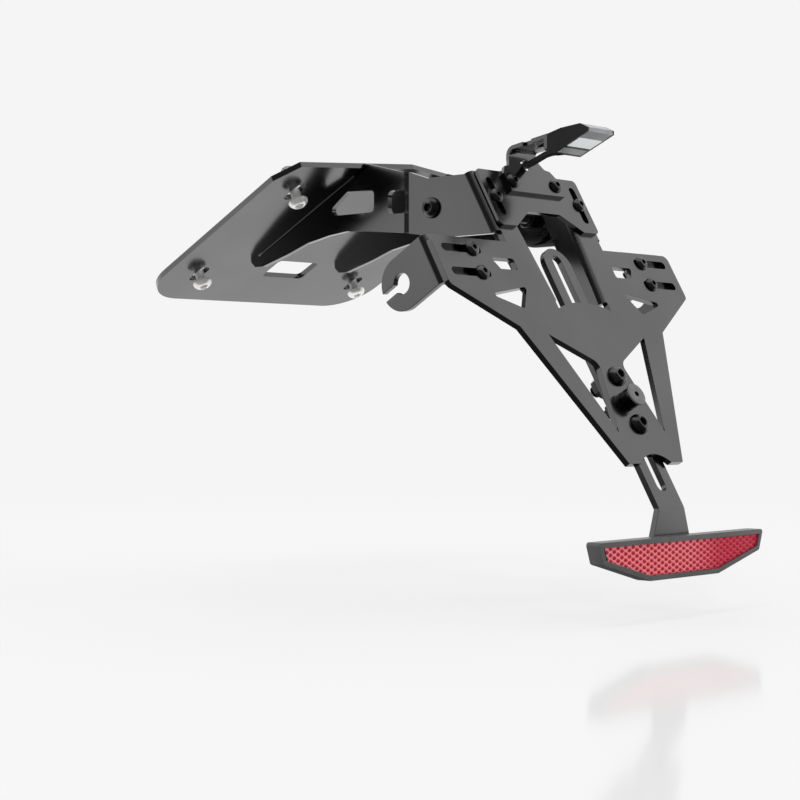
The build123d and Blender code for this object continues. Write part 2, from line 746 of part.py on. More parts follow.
with BuildPart() as lamp_housing:
    with BuildSketch(side_plane.offset(-lamp_half)):
        with BuildLine():
            Polyline(
                lamp_point(*lamp_foot), lamp_point(*lamp_toe), lamp_point(0, lamp_front_h),
                lamp_point(*lamp_crest), lamp_point(*lamp_brow), lamp_point(*lamp_tail),
                lamp_point(*lamp_lip), close=True,
            )
        make_face()
    extrude(amount=2 * lamp_half)
    # hollow below and behind, with the roof ending at the brow
    with BuildSketch(side_plane.offset(-lamp_half + lamp_wall)):
        with BuildLine():
            Polyline(
                lamp_point(foot_back + lamp_wall, foot_up - 5), lamp_point(foot_back + lamp_wall, foot_up + 0.6),
                lamp_point(lamp_wall, lamp_toe[1] + 0.1 * lamp_wall),
                lamp_point(lamp_wall, lamp_front_h - 0.8 * lamp_wall),
                lamp_point(crest_back, crest_up - lamp_wall), lamp_point(brow_back, brow_up - lamp_wall),
                lamp_point(brow_back, brow_up + 5), lamp_point(lip_back + 6, brow_up + 5),
                lamp_point(lip_back + 6, foot_up - 5), close=True,
            )
        make_face()
    extrude(amount=2 * (lamp_half - lamp_wall), mode=Mode.SUBTRACT)
    with BuildSketch(Plane.XZ.offset(-lamp_y - gland_len)):
        with Locations((0, gland_z)):
            Circle(gland_r)
    extrude(amount=gland_len + gland_in)
    with BuildSketch(Plane.XZ.offset(-lamp_y)):
        with Locations((-lamp_screw_x, lamp_screw_z), (lamp_screw_x, lamp_screw_z)):
            Circle(m3 / 2 + thread_fit)
    extrude(amount=lamp_wall, mode=Mode.SUBTRACT)
save(lamp_housing.part, "lamp_housing", "lamp housing")

# the clear cover closes the underside and the rear bevel
glass_in = lamp_wall + lens_gap
glass_front = foot_back + glass_in
glass_low = tail_up - lamp_glass
bevel_slope = (brow_up - tail_up) / (tail_back - brow_back)
with BuildPart() as lamp_glass_part:
    with BuildSketch(side_plane.offset(-lamp_half + glass_in)):
        with BuildLine():
            Polyline(
                floor_point(glass_front, 0), lamp_point(*lamp_lip), lamp_point(*lamp_tail),
                lamp_point(brow_back + lens_gap, brow_up - bevel_slope * lens_gap),
                lamp_point(brow_back + lens_gap, brow_up - lamp_wall),
                lamp_point(tail_back - lamp_glass, glass_low + 0.6 * bevel_slope * lamp_glass),
                floor_point(tail_back - 1.5 * lamp_glass, lamp_glass), floor_point(glass_front, lamp_glass),
                close=True,
            )
        make_face()
    extrude(amount=2 * (lamp_half - glass_in))
save(lamp_glass_part.part, "lamp_glass", "lamp glass")

board_in = 7.0
board_out = 17.5
board_up = 4.0
board_t = 1.0
diode_pitch = 6.0
with BuildPart() as lamp_board:
    with BuildSketch(side_plane.offset(-lamp_half + glass_in)):
        with BuildLine():
            Polyline(
                floor_point(board_in, board_up), floor_point(board_out, board_up),
                floor_point(board_out, board_up + board_t), floor_point(board_in, board_up + board_t),
                close=True,
            )
        make_face()
    extrude(amount=2 * (lamp_half - glass_in))
    board_mid = floor_point((board_in + board_out) / 2, board_up)
    board_down = Vector(0, -floor_slope, -1).normalized()
    board_plane = Plane(origin=(0, *board_mid), x_dir=(1, 0, 0), z_dir=board_down)
    with BuildSketch(board_plane):
        with GridLocations(diode_pitch, 1, 3, 1):
            Rectangle(3.5, 3.0)
    extrude(amount=1.0)
save(lamp_board.part, "lamp_board", "lamp board")

# lamp cable, from the gland through the hole of the upright
wire_route = [(0, 0), (5.0, 0), (10.7, -2.0), (17.0, -4.5), (23.7, -5.7), (31.2, -6.5), (38.7, -8.7)]
wire_points = [Vector(0, lamp_y + gland_len + f, gland_z + u) for f, u in wire_route]
wire_runs = [b - a for a, b in zip(wire_points, wire_points[1:])]
wire_radii = []
for a, b in zip(wire_runs, wire_runs[1:]):
    wire_radii.append(0.45 * min(a.length, b.length) / tan(radians(a.get_angle(b)) / 2))
print("cable radii", [round(r, 1) for r in wire_radii])
with BuildPart() as lamp_cable:
    with BuildLine() as wire_line:
        FilletPolyline(*wire_points, radius=wire_radii)
    with BuildSketch(Plane(origin=wire_points[0], x_dir=(1, 0, 0), z_dir=wire_runs[0])):
        Circle(wire_r)
    sweep(path=wire_line.wire())
print("cable length", round(wire_line.wire().length, 1), "volume ratio",
      round(lamp_cable.part.volume / (3.14159265 * wire_r**2 * wire_line.wire().length), 4))
save(lamp_cable.part, "lamp_cable", "lamp cable")

# spacer and disc screw between the bar bolts
bar_stack = bar_back - washer_t
with BuildPart() as stud_spacer:
    with BuildSketch(face_at(0, bar_bolt_mid, 0)):
        Circle(stud_r)
        Circle(m5 / 2 + thread_fit, mode=Mode.SUBTRACT)
    extrude(amount=stud_h)
save(stud_spacer.part, "stud_spacer", "stud spacer")

with BuildPart() as stud_screw:
    with BuildSketch(face_at(0, bar_bolt_mid, stud_h)):
        Circle(disc_r)
    extrude(amount=disc_t)
    with BuildSketch(face_at(0, bar_bolt_mid, stud_h)):
        Circle(m5 / 2)
    extrude(amount=-stud_len)
    with BuildSketch(face_at(0, bar_bolt_mid, stud_h + disc_t)):
        RegularPolygon(disc_key / 2, 6, major_radius=False)
    extrude(amount=-2.5, mode=Mode.SUBTRACT)
save(stud_screw.part, "stud_screw", "stud screw")
stud_back = [washer(m5, washer_r - 1), nut(m5, m5_nut, m5_nut_h)]
stud_back = [face_at(0, bar_bolt_mid, h).location * p for p, h in zip(stud_back, (bar_back, bar_stack))]
save(Compound(children=stud_back), "stud_nut", "stud nut")

# fasteners
ear_spots = [(s * ear_screw_x, y) for s in (-1, 1) for y in (0, -ear_slot_pitch)]
bar_spots = [(0, bar_bolt_mid + s * bar_bolt_pitch / 2) for s in (-1, 1)]
tower_spots = [(s * tower_screw_x, tower_screw_y) for s in (-1, 1)]
mount_spots = [(s * mount_screw_x, mount_screw_y) for s in (-1, 1)]
ear_screw = bolt(m4, m4_head, m4_head_h, m4_key, ear_screw_len)
lamp_screw = bolt(m4, m4_head, m4_head_h, m4_key, lamp_screw_len)
bar_bolt = bolt(m6, m6_head, m6_head_h, m6_key, bar_bolt_len)
pivot_bolt = bolt(m6, m6_head, m6_head_h, m6_key, pivot_bolt_len)
tab_screw = bolt(m3, m3_head, m3_head_h, m3_key, 5.0)
nut_m4 = nut(m4, m4_nut, m4_nut_h)
nut_m6 = nut(m6, m6_nut, m6_nut_h)
nut_x = cheek_x + cheek_step - base_sheet
save(put(ear_screw, [face_at(x, y, 0) for x, y in ear_spots]), "ear_screws", "ear screws")
save(put(nut_m4, [face_at(x, y, bar_back) for x, y in ear_spots]), "ear_nuts", "ear nuts")
save(put(lamp_screw, [face_at(x, y, lamp_sheet) for x, y in tower_spots]), "tower_screws", "tower screws")
save(put(nut_m4, [face_at(x, y, -holder_sheet) for x, y in tower_spots]), "tower_nuts", "tower nuts")
save(
    put(lamp_screw, [face_at(x, y, 2 * lamp_sheet) for x, y in mount_spots]),
    "lamp_bracket_screws", "lamp bracket screws",
)
save(put(nut_m4, [face_at(x, y, 0) for x, y in mount_spots]), "lamp_bracket_nuts", "lamp bracket nuts")
save(put(bar_bolt, [face_at(x, y, 0) for x, y in bar_spots]), "bar_bolts", "bar bolts")
save(put(washer(m6, washer_r), [face_at(x, y, bar_back) for x, y in bar_spots]), "bar_washers", "bar washers")
save(put(nut_m6, [face_at(x, y, bar_stack) for x, y in bar_spots]), "bar_nuts", "bar nuts")
save(put(pivot_bolt, [pivot_at(s, holder_x) for s in (-1, 1)]), "pivot_bolts", "pivot bolts")
save(put(nut_m6, [pivot_at(s, nut_x) for s in (-1, 1)]), "pivot_nuts", "pivot nuts")
tab_planes = [
    Plane(origin=(s * lamp_screw_x, lamp_y + lamp_sheet, lamp_screw_z), x_dir=(1, 0, 0), z_dir=(0, 1, 0))
    for s in (-1, 1)
]
save(put(tab_screw, tab_planes), "tab_screws", "tab screws")
foot_plane = Plane(origin=(0, tray_back_y + bar_sheet, tray_stud_z), x_dir=(1, 0, 0), z_dir=(0, -1, 0))
save(put(nut(m5, m5_nut, m5_nut_h), [foot_plane]), "reflector_nut", "reflector nut")
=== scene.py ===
from math import atan2, ceil, cos, floor, hypot, pi, radians, sin, sqrt, tan

import bmesh
import bpy
from mathutils import Matrix, Vector


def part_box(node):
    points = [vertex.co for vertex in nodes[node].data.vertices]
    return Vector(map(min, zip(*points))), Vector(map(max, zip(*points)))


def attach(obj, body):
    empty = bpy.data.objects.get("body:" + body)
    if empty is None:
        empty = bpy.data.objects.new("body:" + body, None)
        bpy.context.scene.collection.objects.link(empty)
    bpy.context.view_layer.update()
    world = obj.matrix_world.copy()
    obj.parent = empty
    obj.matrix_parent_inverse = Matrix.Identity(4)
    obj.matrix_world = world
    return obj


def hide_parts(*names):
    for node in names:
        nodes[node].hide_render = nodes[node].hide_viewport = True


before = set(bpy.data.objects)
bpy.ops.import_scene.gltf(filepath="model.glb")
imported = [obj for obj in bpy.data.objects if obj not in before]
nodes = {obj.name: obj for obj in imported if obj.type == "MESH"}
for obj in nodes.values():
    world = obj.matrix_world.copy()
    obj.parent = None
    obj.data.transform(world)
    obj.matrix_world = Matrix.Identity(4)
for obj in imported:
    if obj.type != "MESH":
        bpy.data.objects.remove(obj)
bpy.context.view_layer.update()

# Folding tail tidy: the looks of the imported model. Metres, +Z up, the bike's rear is -Y.
mm = 0.001
scene = bpy.context.scene

# camera, as the photograph was taken
camera = {
    "place": (-0.7277, -0.7518, -0.0906), "turn": -46.367, "lens": 85.0, "sensor": 36.0,
    "near": 0.05, "far": 100.0,
}
cameraData = bpy.data.cameras.new("camera")
cameraData.lens = camera["lens"]
cameraData.sensor_width = camera["sensor"]
cameraData.clip_start = camera["near"]
cameraData.clip_end = camera["far"]
cameraObject = bpy.data.objects.new("camera", cameraData)
cameraObject.location = camera["place"]
cameraObject.rotation_euler = (radians(90), 0, radians(camera["turn"]))
scene.collection.objects.link(cameraObject)
scene.camera = cameraObject


# shader maths written as expressions on sockets
class Wire:
    def __init__(self, finish, socket):
        self.finish = finish
        self.socket = socket

    def maths(self, operation, *values):
        return self.finish.node("ShaderNodeMath", {"operation": operation}, dict(enumerate(values)))

    def __add__(self, other):
        return self.maths("ADD", self, other)

    def __sub__(self, other):
        return self.maths("SUBTRACT", self, other)

    def __rsub__(self, other):
        return self.maths("SUBTRACT", other, self)

    def __mul__(self, other):
        return self.maths("MULTIPLY", self, other)

    def __truediv__(self, other):
        return self.maths("DIVIDE", self, other)

    __radd__ = __add__
    __rmul__ = __mul__

    def power(self, other):
        return self.maths("POWER", self, other)

    def fraction(self):
        return self.maths("FRACT", self)

    def size(self):
        return self.maths("ABSOLUTE", self)

    def lesser(self, other):
        return self.maths("MINIMUM", self, other)

    def greater(self, other):
        return self.maths("MAXIMUM", self, other)

    def step(self, low, high, toLow=0.0, toHigh=1.0):
        # smooth change from toLow to toHigh while the value goes from low to high
        return self.finish.node(
            "ShaderNodeMapRange", {"interpolation_type": "SMOOTHSTEP"},
            {"Value": self, "From Min": low, "From Max": high, "To Min": toLow, "To Max": toHigh},
        )


class Finish:
    def __init__(self, name, constants=None, world=False):
        made = bpy.data.worlds.new(name) if world else bpy.data.materials.new(name)
        made.use_nodes = True
        self.made = made
        self.tree = made.node_tree
        self.surface = self.tree.nodes.get("Principled BSDF") or self.tree.nodes.get("Background")
        self.output = next(n for n in self.tree.nodes if n.bl_idname.startswith("ShaderNodeOutput"))
        for socket, value in (constants or {}).items():
            self.surface.inputs[socket].default_value = value

    def feed(self, socket, value):
        if isinstance(value, Wire):
            self.tree.links.new(value.socket, socket)
        else:
            socket.default_value = value

    def node(self, kind, settings=None, sockets=None, out=0):
        made = self.tree.nodes.new(kind)
        for key, value in (settings or {}).items():
            setattr(made, key, value)
        for key, value in (sockets or {}).items():
            self.feed(made.inputs[key], value)
        return Wire(self, made.outputs[out])

    def into(self, socket, value):
        self.feed(self.surface.inputs[socket], value)

    def place(self):
        return self.node("ShaderNodeTexCoord", out="Object")

    def axes(self):
        parts = self.node("ShaderNodeSeparateXYZ", sockets={0: self.place()})
        holder = parts.socket.node
        return [Wire(self, holder.outputs[i]) for i in range(3)]

    def noise(self, scale, detail=2.0, roughness=0.5, stretch=None):
        place = self.place()
        if stretch:  # drawn out along an axis, for turned metal
            place = self.node("ShaderNodeVectorMath", {"operation": "MULTIPLY"}, {0: place, 1: stretch})
        return self.node("ShaderNodeTexNoise", sockets={
            "Vector": place, "Scale": scale, "Detail": detail, "Roughness": roughness,
        })

    def blend(self, factor, first, second):
        return self.node("ShaderNodeMix", {"data_type": "RGBA"}, {0: factor, 6: first, 7: second}, out=2)

    def shine(self, middle, *parts):
        # roughness about a middle value, each noise given with the width of its swing
        value = middle
        for noise, swing in parts:
            if swing:
                value = (noise - 0.5) * swing + value
        self.into("Roughness", value)

    def bump(self, height, strength, distance):
        sockets = {"Height": height, "Strength": strength, "Distance": distance}
        self.into("Normal", self.node("ShaderNodeBump", sockets=sockets, out="Normal"))


def grey(level):
    return (level, level, level, 1.0)


# finishes: a noise is given as scale, detail, roughness and stretch, and depths are in millimetres
def mottled(name, look, cover=None):
    # a cloud shifts the tone, a fine grain breaks up the shine, and a cover may change the colour
    finish = Finish(name, {"Metallic": look["metallic"], "Specular IOR Level": look["specular"]})
    cloud = finish.noise(*look["cloud"])
    grain = finish.noise(*look["grain"])
    tone = cloud.step(*look["span"]) if look["span"] else cloud
    dark, light = ([look["base"] * share for share in look[key]] + [1.0] for key in ("dark", "light"))
    colour = finish.blend(tone, dark, light)
    finish.into("Base Color", cover(finish, colour) if cover else colour)
    finish.shine(look["roughness"], (cloud, look["cloudSwing"]), (grain, look["grainSwing"]))
    finish.bump(grain, look["texture"], look["deep"] * mm)
    return finish.made


coatLook = {
    "metallic": 1.0, "specular": 0.5, "base": 0.138, "dark": (0.92, 0.92, 0.92), "light": (1.04, 1.045, 1.06),
    "cloud": (26.0, 3.0), "span": (0.25, 0.75), "grain": (900.0, 1.0),
    "roughness": 0.17, "cloudSwing": 0.05, "grainSwing": 0.03, "texture": 0.006, "deep": 0.3,
}
# painted shade: the coat's colour darkened along the fold below the base plate, as shade in the crease
foldShadeLook = {
    "x": 34.1, "deep": 3.5, "half": 0.55, "soft": 0.15, "darken": 0.6, "seat": 27.0, "end": 19.0, "fade": 3.0,
}


def paintedFoldShade(finish, colour):
    look = foldShadeLook
    slope = radians(look["seat"])
    x, y, z = finish.axes()
    depth = (y * sin(slope) + z * cos(slope) + look["deep"] * mm).size()
    aside = (x.size() - look["x"] * mm).size()
    along = y * cos(slope) - z * sin(slope)
    behind = along.step((look["end"] - look["fade"]) * mm, look["end"] * mm, 1.0, 0.0)
    near = aside.greater(depth).step(look["half"] * mm, (look["half"] + look["soft"]) * mm, 1.0, 0.0)
    # painted shade: the colour is blended toward black along the fold line
    return finish.blend(near * behind * look["darken"], colour, grey(0.0))


stainlessLook = {
    "metallic": 0.62, "specular": 0.5, "base": 0.84, "dark": (0.90, 0.89, 0.87), "light": (1.05, 1.05, 1.04),
    "cloud": (120.0, 3.0), "span": (0.3, 0.7), "grain": (900.0, 2.0, 0.5, (1.0, 1.0, 6.0)),
    "roughness": 0.33, "cloudSwing": 0.06, "grainSwing": 0.08, "texture": 0.03, "deep": 0.05,
}

blackLook = {
    "metallic": 1.0, "specular": 0.5, "base": 0.095, "dark": (0.7, 0.7, 0.7), "light": (1.4, 1.4, 1.4),
    "cloud": (180.0, 3.0), "span": (0.3, 0.7), "grain": (2600.0, 2.0),
    "roughness": 0.24, "cloudSwing": 0.06, "grainSwing": 0.02, "texture": 0.01, "deep": 0.05,
}

discLook = {
    "metallic": 0.4, "specular": 0.5, "base": 0.16, "dark": (0.85, 0.85, 0.85), "light": (1.15, 1.15, 1.15),
    "cloud": (240.0, 2.0), "span": None, "grain": (3000.0, 2.0),
    "roughness": 0.36, "cloudSwing": 0.0, "grainSwing": 0.12, "texture": 0.03, "deep": 0.1,
}

plasticLook = {
    "metallic": 0.0, "specular": 0.22, "base": 0.007, "dark": (0.8, 0.8, 0.8), "light": (1.3, 1.3, 1.3),
    "cloud": (60.0, 3.0), "span": (0.3, 0.7), "grain": (1900.0, 3.0, 0.7),
    "roughness": 0.27, "cloudSwing": 0.08, "grainSwing": 0.10, "texture": 0.03, "deep": 0.15,
}

bezelLook = {
    "metallic": 0.0, "specular": 0.5, "base": 0.080, "dark": (0.85, 0.85, 0.85), "light": (1.15, 1.15, 1.15),
    "cloud": (50.0, 3.0), "span": (0.3, 0.7), "grain": (1700.0, 3.0, 0.7),
    "roughness": 0.36, "cloudSwing": 0.08, "grainSwing": 0.08, "texture": 0.03, "deep": 0.15,
}

sheathLook = {
    "metallic": 0.0, "specular": 0.5, "base": 0.02, "dark": (0.7, 0.7, 0.7), "light": (1.4, 1.4, 1.4),
    "cloud": (150.0, 2.0), "span": None, "grain": (2400.0, 2.0),
    "roughness": 0.415, "cloudSwing": 0.0, "grainSwing": 0.15, "texture": 0.10, "deep": 0.1,
}

glassLook = {
    "tint": (0.58, 0.59, 0.60, 1.0), "bend": 1.49, "clear": 0.62,
    "ripple": (700.0, 1.0), "roughness": 0.175, "swing": 0.03, "texture": 0.02, "deep": 0.1,
}


def clearPlastic():
    look = glassLook
    finish = Finish("clearPlastic", {
        "Base Color": look["tint"], "IOR": look["bend"], "Transmission Weight": look["clear"],
    })
    ripple = finish.noise(*look["ripple"])
    finish.shine(look["roughness"], (ripple, look["swing"]))
    finish.bump(ripple, look["texture"], look["deep"] * mm)
    return finish.made


# two rows of dots in turn, as the pyramids of the lens show them: deeper red towards the right end, and a
# dark band of painted shade along the left one
prismLook = {
    "pink": (0.84, 0.220, 0.235, 1.0), "dark": (0.38, 0.000, 0.022, 1.0), "deep": (0.64, 0.050, 0.090, 1.0),
    "rim": (0.030, 0.010, 0.008, 1.0), "edgeShadeLean": -0.35, "edgeShadeFrom": -115.2, "edgeShadeTo": -114.4,
    "pitchX": 5.6, "pitchZ": 2.8, "dot": 1.06, "squash": 0.62, "inner": 0.55, "outer": 1.15, "grown": 0.16,
    "sideFrom": 12.0, "sideTo": 45.0, "waver": 20.0, "cloud": (40.0, 2.0), "specular": 0.22,
    "roughness": 0.24, "cloudSwing": 0.06, "dotSwing": 0.06,
}


def redPrism():
    look = prismLook
    finish = Finish("redPrism", {"Specular IOR Level": look["specular"]})
    x, z = finish.axes()[::2]
    column = x / (look["pitchX"] * mm)
    row = z / (look["pitchZ"] * mm)

    def dotAt(shift):
        aside = ((column + shift).fraction() - 0.5) * look["pitchX"] * look["squash"]
        along = ((row + shift).fraction() - 0.5) * look["pitchZ"]
        return (aside * aside + along * along).power(0.5)

    cloud = finish.noise(*look["cloud"])
    side = (x + cloud * (look["waver"] * mm)).step(look["sideFrom"] * mm, look["sideTo"] * mm)
    nearest = dotAt(0.0).lesser(dotAt(0.5)) - side * look["grown"]
    dots = nearest.step(look["dot"] * look["inner"], look["dot"] * look["outer"], 1.0, 0.0)
    field = finish.blend(side, look["pink"], look["deep"])
    dotted = finish.blend(dots, field, look["dark"])
    # painted shade: a dark band along the lens's left end, coloured with the "rim" colour
    end = (x - z * look["edgeShadeLean"]).step(look["edgeShadeFrom"] * mm, look["edgeShadeTo"] * mm, 1.0, 0.0)
    finish.into("Base Color", finish.blend(end, dotted, look["rim"]))
    finish.into("Roughness", cloud * look["cloudSwing"] + dots * look["dotSwing"] + look["roughness"])
    return finish.made


boardLook = {
    "mask": (0.030, 0.032, 0.032, 1.0), "worn": (0.018, 0.019, 0.019, 1.0),
    "weave": (900.0, 2.0), "span": (0.3, 0.8), "roughness": 0.375, "swing": 0.15,
}


def boardMask():
    look = boardLook
    finish = Finish("boardMask", {"Specular IOR Level": 0.5})
    weave = finish.noise(*look["weave"])
    finish.into("Base Color", finish.blend(weave.step(*look["span"]), look["mask"], look["worn"]))
    finish.shine(look["roughness"], (weave, look["swing"]))
    return finish.made


diodeLook = {
    "base": 0.9, "warm": (1.0, 0.99, 0.96, 1.0), "cold": (0.96, 0.98, 1.0, 1.0), "strength": 2.4,
    "cloud": (500.0, 2.0), "roughness": 0.4, "swing": 0.2,
}


def diodeGlow():
    look = diodeLook
    finish = Finish("diodeGlow", {"Base Color": grey(look["base"]), "Emission Strength": look["strength"]})
    cloud = finish.noise(*look["cloud"])
    finish.into("Emission Color", finish.blend(cloud, look["warm"], look["cold"]))
    finish.shine(look["roughness"], (cloud, look["swing"]))
    return finish.made


# painted glow: the window's emission strength and the darker colour of its ribs
frostLook = {
    "colour": (0.68, 0.69, 0.70, 1.0), "glow": 0.18, "shade": (0.62, 0.64, 0.66, 1.0), "cell": 3.0,
    "edge": (0.30, 0.50), "edgeShare": 0.5, "cloudShare": 0.3, "cloud": (260.0, 3.0),
    "roughness": 0.325, "swing": 0.15,
}


def frostedWindow():
    # painted glow: the window shines by its own emission as though lit from behind, in faint ribs across it,
    # brighter between them
    look = frostLook
    finish = Finish("frostedWindow", {"Base Color": look["colour"], "Emission Strength": look["glow"]})
    cloud = finish.noise(*look["cloud"])
    x = finish.axes()[0]
    cell = (x / (look["cell"] * mm)).fraction() - 0.5
    ribs = cell.size().step(*look["edge"])
    shade = ribs * look["edgeShare"] + cloud * look["cloudShare"]
    finish.into("Emission Color", finish.blend(shade, grey(1.0), look["shade"]))
    finish.shine(look["roughness"], (cloud, look["swing"]))
    return finish.made


solderLook = {"low": 0.55, "high": 0.75, "cloud": (900.0, 2.0), "roughness": 0.3, "swing": 0.2}


def solder():
    look = solderLook
    finish = Finish("solder", {"Metallic": 1.0})
    cloud = finish.noise(*look["cloud"])
    finish.into("Base Color", finish.blend(cloud, grey(look["low"]), grey(look["high"])))
    finish.shine(look["roughness"], (cloud, look["swing"]))
    return finish.made


coat = mottled("coatedSteel", coatLook)
# the base bracket's coat, with painted shade along its fold
foldShaded = mottled("coatedSteelFoldShade", coatLook, paintedFoldShade)
stainless = mottled("stainlessSteel", stainlessLook)
gloss = mottled("blackSteel", blackLook)
disc = mottled("greyDisc", discLook)
hood = mottled("blackPlastic", plasticLook)
bezel = mottled("bezelPlastic", bezelLook)
sheath = mottled("cableSheath", sheathLook)
clear = clearPlastic()
prism = redPrism()
mask = boardMask()
glow = diodeGlow()
tin = solder()
frost = frostedWindow()
print("stage: finishes", len(bpy.data.materials))

# the model's own planes, repeated from its source
planes = {"tilt": 30.0, "seat": 27.0, "faceY": -167.4, "faceZ": -20.1, "pivotY": -119.4, "pivotZ": 4.3}
tilt = radians(planes["tilt"])
seat = radians(planes["seat"])
faceOut = Vector((0, -cos(tilt), sin(tilt)))
faceUp = Vector((0, sin(tilt), cos(tilt)))
faceOrigin = Vector((0, planes["faceY"], planes["faceZ"]))
seatUp = Vector((0, sin(seat), cos(seat)))
seatForward = Vector((0, cos(seat), -sin(seat)))
across = Vector((1, 0, 0))


def onFace(x, y, h):
    return faceOrigin + across * x + faceUp * y + faceOut * h


def onSeat(x, s, t):
    return across * x + seatForward * s + seatUp * t


def standing(origin, out, side=across):
    # millimetres in the plane's own axes to metres in the model's
    out = out.normalized()
    side = (side - out * side.dot(out)).normalized()
    up = out.cross(side)
    place = Matrix((side, up, out)).transposed().to_4x4()
    place.translation = origin
    return Matrix.Scale(mm, 4) @ place


def faceAt(x, y, h):
    return standing(onFace(x, y, h), faceOut)


def pivotAt(sign, x):
    origin = Vector((sign * x, planes["pivotY"], planes["pivotZ"]))
    return standing(origin, across * sign, Vector((0, 0, 1)))


# meshes of revolution: rings of points, joined one to the next
segments = 48
turns = [2 * pi * k / segments for k in range(segments)]


def circle(radius, height):
    return [(radius * cos(a), radius * sin(a), height) for a in turns]


def hexRadius(width, angle):
    return width / 2 / cos((angle + pi / 6) % (pi / 3) - pi / 6)


def hexagon(width, height, shrink=1.0):
    radii = [shrink * hexRadius(width, a) for a in turns]
    return [(r * cos(a), r * sin(a), height) for r, a in zip(radii, turns)]


def arcThrough(start, middle, end, steps):
    # points of the arc through three points of a profile
    (ax, ay), (bx, by), (cx, cy) = start, middle, end
    d = 2 * (ax * (by - cy) + bx * (cy - ay) + cx * (ay - by))
    ux = ((ax**2 + ay**2) * (by - cy) + (bx**2 + by**2) * (cy - ay) + (cx**2 + cy**2) * (ay - by)) / d
    uy = ((ax**2 + ay**2) * (cx - bx) + (bx**2 + by**2) * (ax - cx) + (cx**2 + cy**2) * (bx - ax)) / d
    radius = hypot(ax - ux, ay - uy)
    first = atan2(ay - uy, ax - ux)
    last = atan2(cy - uy, cx - ux)
    angles = [first + (last - first) * k / steps for k in range(steps + 1)]
    return [(ux + radius * cos(a), uy + radius * sin(a)) for a in angles]


def addRings(mesh, place, rings, closed=False):
    # rings of equal count become quads; open ends are capped
    rows = [[mesh.verts.new(place @ Vector(p)) for p in ring] for ring in rings]
    pairs = list(zip(rows, rows[1:])) + ([(rows[-1], rows[0])] if closed else [])
    for low, high in pairs:
        for k in range(segments):
            nextOne = (k + 1) % segments
            mesh.faces.new((low[k], low[nextOne], high[nextOne], high[k]))
    if not closed:
        mesh.faces.new(list(reversed(rows[0])))
        mesh.faces.new(rows[-1])


# angle in degrees over which an edge is drawn sharp
sharpFrom = {"round": 32.0, "flat": 20.0, "facet": 5.0}


def finishMesh(name, mesh, finishes, sharp="round"):
    bmesh.ops.recalc_face_normals(mesh, faces=mesh.faces)
    data = bpy.data.meshes.new(name)
    mesh.to_mesh(data)
    mesh.free()
    data.shade_smooth()
    data.set_sharp_from_angle(angle=radians(sharpFrom[sharp]))
    made = bpy.data.objects.new(name, data)
    scene.collection.objects.link(made)
    for finish in finishes:
        data.materials.append(finish)
    return made


# shares of the pitch; the crest is in millimetres under the nominal size
threadLook = {
    "depth": 0.61, "leadIn": 0.8, "leadOut": 0.6, "stub": 0.15, "flank": 1.35, "land": 0.15, "crest": 0.03,
    "rings": 6,
}


def thread(size, pitch, start, end):
    # rings down a helical thread, heights falling from start to end
    look = threadLook
    rows = []
    count = max(4, int((start - end) / pitch * look["rings"]))
    for i in range(count + 1):
        height = start + (end - start) * i / count
        begun = (start - height) / (look["leadIn"] * pitch)
        left = (height - end) / (look["leadOut"] * pitch) + look["stub"]
        fade = max(0.0, min(1.0, begun, left))
        ring = []
        for a in turns:
            phase = (height / pitch - a / (2 * pi)) % 1.0
            groove = min(1.0, max(0.0, look["flank"] * abs(2 * phase - 1) - look["land"]))
            radius = size / 2 - look["crest"] - look["depth"] * pitch * groove * fade
            ring.append((radius * cos(a), radius * sin(a), height))
        rows.append(ring)
    return rows


# shares of the head's height or width
headLook = {"rim": 0.12, "flat": 0.28, "shoulder": (0.435, 0.62), "socket": 0.4, "tip": 0.1, "steps": 10}


def buttonScrew(mesh, place, size, headWidth, headHeight, key, length, pitch, plain=0.4, neck=0.0):
    # hex socket, domed head, shank and thread, along the plane's own axis
    look = headLook
    rim = look["rim"] * headHeight
    socketFloor = look["socket"] * headHeight
    corner = key / 2 / cos(pi / 6)
    shank = size / 2 - neck
    dome = arcThrough(
        (look["flat"] * headWidth, headHeight),
        (look["shoulder"][0] * headWidth, look["shoulder"][1] * headHeight),
        (headWidth / 2, rim), look["steps"],
    )
    rings = [  # the socket, from the drill's point to its eased mouth
        circle(0.04 * key, socketFloor - 0.16 * key),
        circle(0.40 * key, socketFloor - 0.02 * key),
        hexagon(key, socketFloor, 0.97),
        hexagon(key, socketFloor + 0.06 * key),
        hexagon(key, headHeight - 0.09 * key),
        circle(corner * 1.03, headHeight - 0.015 * headWidth),
        circle(corner * 1.10, headHeight),
    ]
    rings += [circle(r, z) for r, z in dome if r > corner * 1.12]
    rings += [  # under the head
        circle(0.49 * headWidth, rim * 0.35),
        circle(0.47 * headWidth, 0.0),
        circle(shank + 0.05 * size, 0.0),
        circle(shank, -0.05 * size),
        circle(shank, -plain),
    ]
    tip = look["tip"] * size
    rings += thread(size, pitch, -plain - 0.02, -length + tip)
    rings.append(circle(size / 2 - 0.9 * tip - 0.1, -length + 0.3 * tip))
    rings.append(circle(size / 2 - 1.3 * tip - 0.1, -length))
    addRings(mesh, place, rings)


holeLook = {"room": 0.1, "lead": 0.08, "flat": 0.475, "chamfer": 30.0, "ease": 0.12}


def hexNut(mesh, place, size, width, height):
    # chamfered both ends, countersunk hole, hanging below the plane
    bore = size / 2 + holeLook["room"]
    lead = holeLook["lead"] * size
    flat = holeLook["flat"] * width
    slope = tan(radians(holeLook["chamfer"]))

    def corners(height, sign):
        ring = []
        for a in turns:
            r = hexRadius(width, a)
            ring.append((r * cos(a), r * sin(a), height - sign * max(0.0, r - flat) * slope))
        return ring

    addRings(mesh, place, [
        circle(bore, -lead), circle(bore + lead, 0), circle(flat, 0), corners(0, 1), corners(-height, -1),
        circle(flat, -height), circle(bore + lead, -height), circle(bore, -height + lead),
    ], closed=True)


